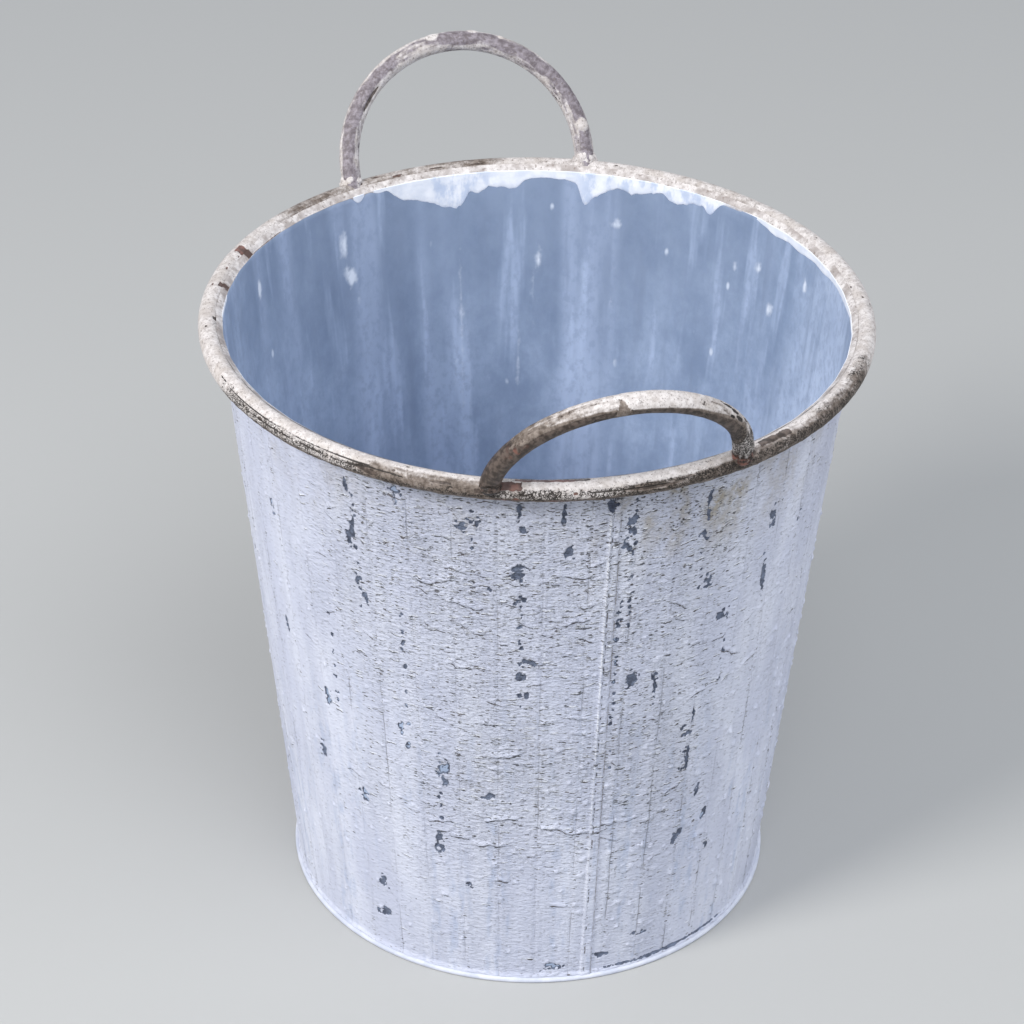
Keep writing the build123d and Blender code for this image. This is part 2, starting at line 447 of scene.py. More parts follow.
def bar_paint(name, grime_and_shade_light, grime_and_shade_dark):
    """Cream paint on brown steel bar: fine cracks, flaked patches, rust and grime; the grime and the bare
    steel also carry painted shade on the bar's shaded sides.
    """
    s = Shader(name, Specular_IOR_Level=0.35)
    edge = s.noise(650, detail=4) + s.noise(2200, detail=2) * 0.4
    bare = s.ramp(edge * 0.9 + s.field("bare"), 0.76, 0.86)

    # Cracks between plates of about a millimetre, wider where the network is denser; and long ones
    plates = {"Vector": s.pushed(1500, 1.2 * MM, 4), "Scale": 1150.0}
    between = s.number("ShaderNodeTexVoronoi", "Distance", plates, feature="DISTANCE_TO_EDGE")
    dense = (s.noise(330, detail=3) - 0.5) * 1.8 + s.field("network")
    reach = s.ramp(dense, 0.05, 1.0) * s.ramp(s.noise(900, detail=3), 0.3, 0.7, 0.06, 0.30)
    crack = s.most(s.ramp(reach - between, 0.0, 0.07), s.ramp(edge * 0.6 + s.field("crack"), 0.86, 1.06))

    # Colour
    grain = s.noise(900, detail=4, rough=0.7)
    fleck = s.noise(420, detail=4, rough=0.65)
    cream = s.mix(s.ramp(fleck, 0.32, 0.64), (0.49, 0.445, 0.425), (0.70, 0.655, 0.635))
    cream = s.mix(s.ramp(s.noise(130, detail=3), 0.46, 0.64, 0, 0.45), cream, (0.44, 0.385, 0.345))
    grimy_and_shaded = s.ramp(grain * 0.7 + s.field("grime_and_shade"), 0.60, 1.20)
    # Grime colours, also used for painted shade where the mesh puts it
    colour = s.mix(grimy_and_shaded, cream, s.mix(s.ramp(fleck, 0.32, 0.68), grime_and_shade_dark, grime_and_shade_light))
    specks = s.ramp(s.noise(1100, detail=3, rough=0.7), 0.57, 0.65, 0, 0.72)
    colour = s.mix(specks, colour, (0.13, 0.10, 0.085))
    steel = s.mix(s.ramp(s.noise(420, detail=4), 0.38, 0.62), (0.034, 0.024, 0.019), (0.108, 0.080, 0.067))
    red = s.mix(s.ramp(s.noise(300, detail=3), 0.4, 0.62), (0.070, 0.030, 0.023), (0.185, 0.078, 0.058))
    colour = s.mix(bare * 0.92, colour, s.mix(s.field("rust"), steel, red))
    colour = s.mix(crack * 0.95, colour, (0.020, 0.015, 0.012))
    normal = s.bump(bare, -0.20 * MM, s.bump(fleck, 0.15 * MM))
    normal = s.bump(crack, -0.25 * MM, normal)
    return s.finish(colour, s.ramp(bare, 0, 1, 0.58, 0.48), normal)


def foot_paint():
    """The wall's white paint on the folded edge, worn to grey along its corner."""
    s = Shader("foot_paint", Specular_IOR_Level=0.35)
    worn = s.ramp(s.noise(300, detail=4) * 0.6 + s.field("chip"), 0.27, 0.36)
    white = s.mix(s.ramp(s.noise(120, detail=4), 0.35, 0.68), (0.53, 0.56, 0.66), (0.66, 0.68, 0.76))
    zinc = s.mix(s.ramp(s.noise(240, detail=4), 0.35, 0.7), (0.105, 0.120, 0.155), (0.20, 0.225, 0.275))
    normal = s.bump(s.noise(420, detail=4), 0.12 * MM)
    return s.finish(s.mix(worn, white, zinc), s.ramp(worn, 0, 1, 0.6, 0.45), normal)


def overrun_paint():
    """Smooth white paint that ran over the edge, thin enough in places to show the zinc."""
    s = Shader("overrun_paint", Specular_IOR_Level=0.4)
    colour = s.mix(s.ramp(s.noise(120, detail=3), 0.35, 0.68), (0.76, 0.79, 0.86), (0.90, 0.91, 0.95))
    thin = s.field("thin") * s.ramp(s.noise(170, (1, 1, 0.5), 4, 0.6), 0.44, 0.62)
    colour = s.mix(thin * 0.8, colour, (0.50, 0.58, 0.74))
    fleck = s.noise(420, detail=4, rough=0.65)
    cream = s.mix(s.ramp(fleck, 0.32, 0.64), (0.49, 0.445, 0.425), (0.72, 0.675, 0.655))
    cream = s.mix(s.ramp(s.noise(110, detail=4), 0.42, 0.62, 0, 0.75), cream, (0.30, 0.255, 0.235))
    cream = s.mix(s.ramp(s.noise(700, detail=4), 0.58, 0.66, 0, 0.7), cream, (0.20, 0.155, 0.130))
    ragged = s.noise(500, detail=3)
    colour = s.mix(s.ramp(ragged * 0.6 + s.field("fillet"), 0.50, 0.95), colour, cream)
    colour = s.mix(s.ramp(ragged * 0.8 + s.field("stain"), 1.0, 1.3), colour, (0.095, 0.058, 0.048))
    normal = s.bump(s.noise(300, detail=3), 0.10 * MM)
    return s.finish(colour, s.ramp(s.noise(200), 0.3, 0.7, 0.45, 0.6), normal)


# ---------------------------------------------------------------- the wall
WALL_COLUMNS = FLATS * 32
WALL_ROWS = 460
WALL_SIDES = ("front", "front_right", "right", "back_right", "back", "back_left", "left", "front_left")
MEAN_ROUND = tau * (wall_at_top + wall_at_foot) / 2 / MM    # mm round the wall, half way up
CREASE_DEPTH = (pi / FLATS) ** 2 / 2                        # how far a flat lies in, as a share of the radius


def wall_radius(z):
    """Outside radius of the sheet at height z, over its creases."""
    return wall_at_foot + (wall_at_top - wall_at_foot) * z / wall_top


def flat_share(azimuth, sharp=0.985):
    """How far the sheet stands in between two creases: a share of its radius."""
    turn = np.arcsin(sharp * np.abs(np.sin((azimuth - SEAM_AZIMUTH) * FLATS / 2))) * 2 / pi
    return 1 - CREASE_DEPTH * (1 - turn**2)


def round_noise(azimuth, z_mm, wide, tall, seed, octaves=1):
    """Noise on the wall whose features are about wide by tall mm."""
    steps = round(MEAN_ROUND / wide)
    return fbm(azimuth / tau * steps, z_mm / tall, 0.5, seed, steps, octaves)


class WallFilm:
    """The paint outside the wall: a grid of heights over the sheet in mm, and fields for its material."""

    def __init__(self):
        self.azimuth = SEAM_AZIMUTH + (np.arange(WALL_COLUMNS) / WALL_COLUMNS - 0.5) * tau
        self.z = np.linspace(foot_top / MM + 0.15, ring_z / MM - 0.2, WALL_ROWS)
        self.A, self.Z = np.meshgrid(self.azimuth, self.z)
        self.height = np.zeros(self.A.shape)
        self.chip = np.full(self.A.shape, -1.0)
        self.gap = np.full(self.A.shape, 4.0)      # mm above the nearest crack under a fold
        self.open = np.zeros(self.A.shape)         # how open that crack is

    def window(self, azimuth, z, wide, tall):
        """The part of the grid near a place, with each point's distance along and up from it in mm."""
        radius = wall_radius(z * MM) / MM
        middle = (azimuth - self.azimuth[0]) / tau * WALL_COLUMNS
        reach = wide / (tau * radius / WALL_COLUMNS)
        cols = np.arange(int(middle - reach), int(middle + reach) + 2)
        rows = np.nonzero(np.abs(self.z - z) <= tall)[0]
        along = (cols - middle) * tau * radius / WALL_COLUMNS
        up = self.z[rows] - z
        return np.ix_(rows, cols % WALL_COLUMNS), *np.meshgrid(along, up)

    def blob(self, azimuth, z, size, tall):
        """A drop of paint, steeper below than above."""
        where, along, up = self.window(azimuth, z, 3 * size, 3 * size)
        up = np.where(up < 0, up * 1.5, up * 0.8)
        self.height[where] += tall * np.exp(-((along**2 + up**2) / size**2) ** 1.4)

    def fold(self, azimuth, z, length, tall, slope, draw, deep=1.0):
        """A fold of sagging skin: a wandering ridge across the wall, with a gap under its lower edge."""
        where, along, up = self.window(azimuth, z, length / 2 + 2, 9)
        bend = draw.uniform(-0.08, 0.08) * length * np.sin(along / length * pi * 1.6 + draw.uniform(0, tau))
        waves = bend + 1.3 * noise(along / 4.5, azimuth * 100, z, 78) * min(1, length / 14)
        up = up - waves - slope * along
        ends = step(length / 2, length / 2 - min(3, length / 3), np.abs(along))
        ridge = np.where(up > 0, hill(up, 1.4), hill(up, 0.5))
        self.height[where] += tall * ends * ridge
        above = up + 0.80
        nearness = deep * ends * step(2.4, 1.2, np.abs(above))
        closer = nearness > self.open[where]
        self.gap[where] = np.where(closer, above, self.gap[where])
        self.open[where] = np.maximum(self.open[where], nearness)

    def flake(self, azimuth, z, wide, tall, draw):
        """A patch where the paint has come off, with ragged edges."""
        where, along, up = self.window(azimuth, z, wide + 5, tall + 5)
        shape = np.full(along.shape, -1.0)
        for _ in range(draw.integers(3, 7)):
            a = along - draw.uniform(-0.38, 0.38) * wide
            b = up - draw.uniform(-0.46, 0.46) * tall
            size = draw.uniform(0.16, 0.42)
            away = np.hypot(a / (size * wide), b / (size * tall))
            shape = np.maximum(shape, 0.75 * (1.15 - away))
        for _ in range(draw.integers(1, 4)):
            turn = draw.uniform(0, tau)
            a = along - 0.45 * cos(turn) * wide
            b = up - 0.45 * sin(turn) * tall
            size = draw.uniform(0.08, 0.17) * max(wide, tall)
            shape = np.minimum(shape, np.hypot(a, b) / size - 0.95)
        for _ in range(draw.integers(0, 4)):
            a = along - draw.uniform(-0.8, 0.8) * wide
            b = up - draw.uniform(-0.9, 0.9) * tall
            shape = np.maximum(shape, 0.75 * (1.2 - np.hypot(a, b) / draw.uniform(0.4, 0.8)))
        ragged = fbm(along / 1.8, up / 1.8, azimuth * 50 + z, 77, 0, 2)
        shape = np.clip(shape + 0.5 * ragged, -1, 1)
        self.chip[where] = np.maximum(self.chip[where], shape)

    def trail(self, azimuth, high, low, draw):
        """A column of small chips down the wall."""
        z = high
        while z > low:
            place = azimuth + draw.normal(0, 0.3) * MM / wall_at_top
            self.flake(place, z, draw.uniform(0.6, 1.7), draw.uniform(0.6, 2.2), draw)
            z -= draw.uniform(2.5, 11)


# Chips seen from the front: (degrees from the seam, height, width, height of the chip), in mm
FRONT_CHIPS = [
    (-16, 236, 7, 8), (-16, 224, 4, 4), (-27, 260, 6, 3.5), (-24, 262, 2, 5), (-17, 269, 3, 7),
    (-16, 261, 4, 2.5), (-9, 269, 2.5, 9), (-8, 250, 3, 7), (-22, 228, 2, 3), (-14, 189, 6, 3),
    (-16, 183, 4, 5), (-15, 172, 2, 4), (-1, 273, 4, 6), (3, 263, 4, 3.5), (3, 257, 2.5, 5),
    (2.5, 250, 3.5, 4.5), (2, 220, 2.5, 6), (5, 176, 6, 9), (10, 174, 2.5, 6), (18, 262, 2.5, 13),
    (18, 245, 4, 4), (20, 220, 4, 5), (24, 198, 5, 4), (35, 240, 3, 9), (35, 210, 2.5, 15), (45, 221, 2, 10),
    (20, 137, 2.5, 22), (20, 121, 3.5, 12), (27, 80, 4, 7), (20, 74, 4, 6), (-32, 123, 4, 12),
    (-41, 140, 2.5, 7), (-40, 131, 3, 4), (-22, 112, 7, 3), (-64, 104, 5, 7), (-52, 92, 4, 5),
    (-49, 267, 2.5, 9), (-49, 244, 4, 12), (-48, 217, 2.5, 5), (-47, 209, 2.5, 5), (-39, 274, 5, 5),
    (-39, 268, 1.5, 7), (-73, 164, 3, 5), (-72, 231, 2.5, 9), (-27, 57, 3, 3), (-34, 80, 4, 10),
    (-49, 44, 4, 5), (-50, 25, 6, 6), (-60, 140, 2.5, 6), (24, 97, 3, 5), (30, 60, 3, 4), (14, 20, 8, 3),
    (3, 12, 6, 3), (-8, 8, 7, 3),
]
# Columns of small chips seen from the front: (degrees from the seam, highest, lowest)
FRONT_TRAILS = [
    (-16.3, 246, 158), (3.8, 272, 198), (2.0, 215, 120), (-39.3, 205, 122), (18.0, 262, 214), (-48, 262, 200),
    (-25, 268, 240), (10.5, 176, 150), (18.6, 150, 112), (-33, 120, 90), (26, 200, 160), (-57, 190, 140),
]
# Folds seen from the front: (degrees from the seam, height, length, how tall, slope)
FRONT_FOLDS = [
    (-28, 237, 12, 0.5, -0.25), (-32, 229, 18, 0.5, 0.1), (-27, 219, 20, 0.55, -0.12),
    (-6, 236, 14, 0.5, -0.1), (-3, 242, 10, 0.5, 0.2), (-6, 212, 13, 0.5, 0.12), (-13, 190, 7, 0.5, -0.5),
    (-19, 137, 16, 0.7, 0.25), (-33, 93, 14, 0.55, 0.05), (-20, 99, 17, 0.6, 0.05), (-29, 86, 12, 0.5, -0.1),
    (-22, 83, 15, 0.6, 0.1), (-7, 93, 26, 0.6, -0.2), (1, 91, 10, 0.5, -0.1), (22, 247, 9, 0.5, 0.4),
    (25, 234, 9, 0.5, 0.4), (14, 212, 10, 0.5, -0.7), (28, 174, 14, 0.5, -0.6), (34, 162, 14, 0.5, 0.5),
    (-7, 47, 10, 0.5, -0.2), (-33, 48, 5, 0.6, 0.0), (-20, 62, 8, 0.5, 0.0), (21, 158, 10, 0.5, 0.3),
    (17, 105, 12, 0.5, 0.4),
]


def wrinkling(A, Z):
    """How wrinkled the skin is, and how calm: most over the front and near the rim, little low down."""
    turn = A - SEAM_AZIMUTH
    zone = 0.52 + 0.50 * round_noise(A, Z, 50, 60, 5, 2)
    zone += 0.32 * hill(turn + 0.20, 0.60) - 0.60 * hill(turn + 1.20, 0.42)
    zone += 0.28 * step(150, 235, Z) - 0.35 * step(120, 30, Z) - 0.30 * step(0.25, 0.65, turn)
    calm = np.maximum(0.85 * step(0.30, 0.62, turn), 0.6 * step(-0.75, -1.15, turn))
    return np.clip(zone, 0.0, 1.0), np.maximum(calm, step(130, 40, Z))


RANDOM_FOLDS, SMALL_DROPS, LARGE_DROPS = 1800, 1300, 260    # how many are tried, all round the wall


def scatter(film, wrinkled, calm):
    """Chips, folds and drops: the front's from their lists, then random ones all round."""
    draw = np.random.default_rng(21)
    for degrees, z, wide, tall in FRONT_CHIPS:
        film.flake(SEAM_AZIMUTH + radians(degrees), z, wide, tall, draw)
    for degrees, high, low in FRONT_TRAILS:
        film.trail(SEAM_AZIMUTH + radians(degrees), high, low, draw)
    for degrees, z, length, tall, slope in FRONT_FOLDS:
        film.fold(SEAM_AZIMUTH + radians(degrees), z, length, 1.3 * tall, slope, draw)
    # Columns of chips on every second crease that the lists leave out
    for k in range(8, FLATS - 10):
        lean = SEAM_AZIMUTH + (k + 0.5 * draw.uniform(-0.3, 0.3)) * tau / FLATS
        z = draw.uniform(180, 275)
        while z > 12 and k % 2:
            film.flake(lean, z, draw.uniform(1.5, 4), draw.uniform(2, 8), draw)
            z -= draw.choice([6, 14, 30, 60])
    for _ in range(RANDOM_FOLDS):
        col, row = draw.integers(0, WALL_COLUMNS), draw.integers(0, WALL_ROWS)
        turn = film.azimuth[col] - SEAM_AZIMUTH
        if draw.random() < wrinkled[row, col] ** 1.5 and film.open[row, col] < 0.1:
            length = draw.triangular(2.5, 4, 15)
            slope = draw.normal(0.25 * (turn > 0.25), 0.18)
            deep = draw.uniform(0.3, 0.9) * (1 - 0.6 * calm[row, col])
            film.fold(film.azimuth[col], film.z[row], length, draw.uniform(0.15, 0.50), slope, draw, deep)
    for _ in range(SMALL_DROPS):
        place = SEAM_AZIMUTH + draw.uniform(-pi, pi)
        size = draw.uniform(0.55, 1.05)
        film.blob(place, draw.uniform(6, 275), size, size * draw.uniform(0.35, 0.8))
    for _ in range(LARGE_DROPS):
        place = SEAM_AZIMUTH + draw.triangular(-0.6, 0.9, 2.6)
        size = draw.uniform(0.9, 1.7)
        film.blob(place, draw.triangular(8, 60, 230), size, size * draw.uniform(0.35, 0.6))


def raise_seam(film):
    """The side seam, a pressed fold that stands out under the paint."""
    from_seam = (film.A - SEAM_AZIMUTH) * wall_radius(film.Z * MM) / MM
    below_rim = step(278, 275, film.Z)
    band = step(2.5, 1.9, np.abs(from_seam)) * below_rim
    ridge = (0.15 + 0.35 * step(50, 160, film.Z)) * hill(from_seam + 1.9, 0.45)
    film.height += 0.70 * band + ridge * below_rim
    film.height -= 0.20 * hill(from_seam - 2.7, 0.40) * below_rim


def wall_film():
    """The painted outside of the wall, in eight pieces side by side."""
    film = WallFilm()
    A, Z = film.A, film.Z
    turn = A - SEAM_AZIMUTH
    wrinkled, calm = wrinkling(A, Z)
    height = 0.50 + 0.12 * round_noise(A, Z, 30, 40, 3, 2)
    relief = 0.25 + 0.75 * wrinkled * (1 - 0.5 * calm)
    ledge = 0.04 + 0.36 * wrinkled * (1 - calm) + (0.18 - 0.10 * calm) * round_noise(A, Z, 16, 20, 205, 2)
    height += (0.06 + 0.14 * wrinkled) * round_noise(A, Z, 5.0, 2.2, 9, 2)
    height += (0.05 + 0.06 * step(-0.1, 0.5, turn)) * round_noise(A, Z, 2.2, 70, 12, 2)
    film.height += height

    # A crease in the paint between each pair of flats, with short notches across it
    flat = np.floor(turn * FLATS / tau + 0.5)
    from_crease = (turn * FLATS / tau) % 1 - 0.5
    across = from_crease * tau / FLATS * wall_radius(Z * MM) / MM
    across = across + 0.35 * round_noise(A, Z, 9, 30, 16)
    film.height -= 0.22 * hill(across, 0.75)
    film.height += 0.07 * hill(np.abs(across) - 1.7, 0.8)
    notch = 0.02 + 0.42 * wrinkled * (1 - calm) + (0.22 - 0.12 * calm) * round_noise(A, Z, 12, 16, 15, 2)
    # Painted shade: each flat darkened by its own random amount, for the flats' slightly different tilts to
    # the light
    painted_flat_shade = 0.30 * (1 + noise(flat + 0.5, 0.5, 0.5, 18))

    scatter(film, wrinkled, calm)
    raise_seam(film)

    # Chips go down to the zinc; paint fills the corner under the rim and runs out on to the foot
    chip = film.chip
    film.height = np.where(chip > -0.9, film.height * (1 - step(0.05, 0.35, chip)), film.height)
    film.height += 0.08 * hill(chip + 0.05, 0.12)
    top = film.z[-1]
    film.height += 1.1 * step(top - 4.0, top, Z) ** 2 + 0.9 * step(5.5, 2.4, Z) ** 2

    # A band of bare zinc just above the foot, stronger right of the seam: partly wear, partly the painted
    # shade of the gap over the fold
    low_wear_and_shade = 0.5 * round_noise(A, Z, 14, 30, 33, 2) - np.abs(Z - 3.9) / 1.6
    low_wear_and_shade += 0.75 * hill(turn - 0.42, 0.42) - 0.15
    chip = np.maximum(chip, np.clip(low_wear_and_shade, -1, 1))
    thin = step(0.0, 0.5, round_noise(A, Z, 5, 60, 41, 2)) * step(210, 60, Z)
    dirt = hill(turn - 0.30, 0.30) * 0.85 + 0.22
    dirt = dirt * step(222, 275, Z) * step(-0.2, 0.5, round_noise(A, Z, 10, 20, 51, 2))
    pitted = 0.30 + 0.24 * step(215, 262, Z) * step(-0.6, 0.0, turn) * step(0.42, 0.22, turn)
    away = step(-0.5, 0.0, np.cos(A - SEAM_AZIMUTH + 0.1))
    faint = step(-0.1, 0.5, round_noise(A, Z, 20, 25, 61, 2) - 0.4 * away)
    fields = {
        "chip": chip, "gap": film.gap, "open": film.open, "ledge": ledge, "notch": notch, "painted_flat_shade": painted_flat_shade,
        "relief": relief, "thin": thin, "dirt": dirt, "pitted": pitted, "faint": faint,
    }

    radius = wall_radius(Z * MM) * flat_share(A) + film.height * MM
    points = polar(radius, A, Z)
    normals = grid_normals(points, (False, True))
    material = wall_paint()
    share = WALL_COLUMNS // len(WALL_SIDES)
    start = WALL_COLUMNS // 2 - share // 2
    for k, side in enumerate(WALL_SIDES):
        cols = (start + k * share + np.arange(share + 1)) % WALL_COLUMNS
        part = {key: v[:, cols] for key, v in fields.items()}
        name = f"wall_paint_{side}"
        piece = grid_piece(name, points[:, cols], material, fields=part, normals=normals[:, cols])


# White marks on the zinc inside: (azimuth, height, half width, half height, strength), in degrees and mm
INSIDE_MARKS = [
    (118, 264, 1.6, 8, 1.0), (116.5, 247, 2.6, 4, 1.1), (118, 251, 1.3, 4, 0.9), (144, 268, 1.5, 4, 1.1),
    (27, 262, 1.6, 3, 0.9), (22, 245, 2.0, 3.5, 0.8), (60, 262, 3.0, 3, 0.6), (33, 258, 1.2, 3, 0.7),
    (12, 268, 1.4, 3, 1.0), (76, 241, 1.3, 6, 0.8), (77, 225, 1.0, 18, 0.35), (92, 205, 1.2, 45, 0.35),
    (80, 190, 1.2, 20, 0.4), (98, 250, 1.0, 22, 0.25), (70, 232, 1.0, 14, 0.3), (60, 228, 1.3, 24, 0.25),
    (128, 215, 1.2, 26, 0.2),
]


def wall_zinc():
    """The bare sheet: inside, top edge and the outside that the chips show."""
    cols = FLATS * 8
    azimuth = round_about(cols)
    low, high = wall_low.z, wall_top
    inside = [(z, -sheet) for z in np.linspace(low, high - 0.2 * MM, 120)]
    edge = [(high, -0.8 * sheet), (high + 0.05 * MM, -0.5 * sheet), (high, -0.2 * sheet)]
    outside = [(z, -0.02 * MM) for z in np.linspace(high - 0.2 * MM, low, 60)]
    profile = np.array(inside + edge + outside)
    A, Z = np.meshgrid(azimuth, profile[:, 0])
    dents = 0.25 * MM * round_noise(A, Z / MM, 40, 60, 61, 2)
    radius = wall_radius(Z) * flat_share(A, 0.95) + profile[:, 1][:, None] + dents
    points = polar(radius, A, Z / MM)
    mark = np.zeros(A.shape)
    for degrees, z, wide, tall, strength in INSIDE_MARKS:
        along = ((A - radians(degrees) + pi) % tau - pi) * radius / MM
        mark = np.maximum(mark, strength * np.exp(-((along / wide) ** 2) - ((Z / MM - z) / tall) ** 2))
    mark[120:] = 0
    # Painted light and shade on the zinc inside: lighter towards the sides and low down; darker towards the
    # back, at two narrow places and under the rim
    painted_lightness = 0.9 * hill(A + radians(2), 0.42) + 0.45 * hill(A - radians(158), 0.45)
    painted_lightness += 0.60 * step(150, 60, Z / MM) - 0.40 * hill(A - radians(90), 0.75) * step(60, 150, Z / MM)
    painted_lightness -= step(175, 265, Z / MM)
    painted_lightness += 1.5 * hill(A + radians(4), 0.30) + 0.85 * hill(A - radians(166), 0.24)
    painted_lightness -= 0.55 * hill(A - radians(64), 0.13) + 0.45 * hill(A - radians(112), 0.12)
    fields = {"mark": mark, "painted_light_and_shade": 0.55 * painted_lightness}
    piece = grid_piece("wall_sheet_zinc", points, bare_zinc(), (True, True), fields, flip=True)
    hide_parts("wall_sheet")


# Lower edge of the paint that ran over the top, inside the bucket: (azimuth, height in mm)
INSIDE_EDGE = [
    (-90, 285.5), (-76, 285.4), (-72, 284.6), (-64, 284.9), (-50, 285.2), (-46, 284.4), (-40, 284.9),
    (-20, 284.4), (-12, 283.4), (-5, 282.6), (0, 283.4), (6, 281.9), (10, 282.6), (15, 281.4), (19, 282.3),
    (23, 281.6), (26, 283), (30, 284.8), (37.5, 284.6), (38.4, 282.5), (39.2, 279), (40, 277.2),
    (40.8, 278.4), (41.6, 280.4), (43, 280.6), (45, 279.4), (47.5, 278.2), (49.4, 278.6), (50.5, 281.5),
    (53.5, 280.2), (57, 277.6), (60, 279.8), (62, 278.5), (63.5, 275.5), (65, 274), (65.8, 270.8),
    (66.4, 269.4), (67.1, 270.4), (67.7, 275.5), (68.3, 279.8), (71, 281.6), (74, 282.2), (77.5, 281.8),
    (79, 280.6), (80.2, 277.2), (81.8, 276.4), (83, 278.4), (84.2, 277.6), (86, 278.2), (87.4, 276),
    (88.6, 275.4), (89.6, 277.4), (90.3, 275), (91, 270.6), (92.7, 268.4), (95, 269.8), (98.5, 274.0),
    (101, 276), (103.5, 277.4), (105.5, 280.6), (107, 284.2), (109, 283.6), (110.5, 285.2), (112.2, 285.3),
    (112.6, 282.6), (113.5, 281.6), (114.4, 282.8), (115, 285.5), (121, 285.5), (158, 285.5), (160.5, 285.4),
    (161.5, 284.0), (168, 283.9), (169.5, 285.4), (180, 285.5), (188, 284.7), (215, 284.6), (225, 285.3),
    (270, 285.5),
]


def overrun():
    """Paint over the sheet's top edge, with the runs that went down inside."""
    cols = FLATS * 20
    azimuth = round_about(cols)
    degrees = (np.degrees(azimuth) + 90) % 360 - 90
    top = wall_top / MM
    low = np.interp(degrees, *np.array(INSIDE_EDGE).T)
    low = (np.roll(low, -1) + 2 * low + np.roll(low, 1)) / 4
    run = np.clip((top - low) / 5, 0, 1)
    patchy = step(99, 96, degrees) * step(84, 88, degrees) + step(70, 66, degrees) * step(36, 40, degrees)
    ragged = 0.7 * round_noise(azimuth, 0.0, 4.0, 1.0, 71, 3)
    low += run * (ragged + patchy * round_noise(azimuth, 0.0, 2.2, 1.0, 72, 2))
    low = np.minimum(low, top - 0.15)

    t = np.linspace(0, 1, 26) ** 1.2
    thick = (0.08 + 0.36 * run) * np.sqrt(np.clip(1 - t[:, None] ** 7, 0, 1)) - 0.05
    z_in = top + (low - top) * t[:, None]
    # Over the sheet's top edge, from the bar to the inside: (height above the edge, distance outwards)
    over = [
        (2.2, 1.8), (1.7, 1.0), (1.2, 0.45), (0.8, 0.12), (0.5, -0.12), (0.3, -0.32), (0.15, -0.52),
        (0.05, -0.66),
    ]
    z = np.concatenate([np.array([top + p[0] + 0 * low for p in over]), z_in])
    out = np.concatenate([np.array([p[1] + 0 * low for p in over]), -sheet / MM - thick])
    A = np.broadcast_to(azimuth, z.shape)
    ripple = round_noise(A, z, 4.0, 3.0, 73, 2)
    out = out - 0.10 * ripple * run * np.where(out < -0.7, 1, 0)
    z = z + 0.06 * ripple
    radius = wall_radius(z * MM) * flat_share(A, 0.95) + out * MM
    points = polar(radius, A, z)

    def between(first, last):
        return step(first - 0.5, first, degrees) * step(last + 0.5, last, degrees)

    # White paint, or the cream of the bar, with stains where the bar's rust shows
    white = between(161, 169) + step(186, 190, degrees) * step(218, 214, degrees) + step(40, 25, degrees)
    cream = np.maximum(step(-0.72, -0.40, out), 1 - np.maximum(white, step(0.10, 0.30, run)))
    stain = (between(144.8, 146.6) + between(158.2, 159.4)) * step(-0.7, -0.5, out)
    stain = stain + between(134.5, 144.2) * step(-0.71, -0.66, out) * step(-0.35, -0.50, out)
    thin = (0.25 + 0.75 * patchy) * step(0.2, 0.7, run) + 0 * z
    fields = {"fillet": np.clip(cream, 0, 1), "thin": thin, "stain": stain}
    piece = grid_piece("wall_paint_overrun", points, overrun_paint(), closed=(False, True), fields=fields)


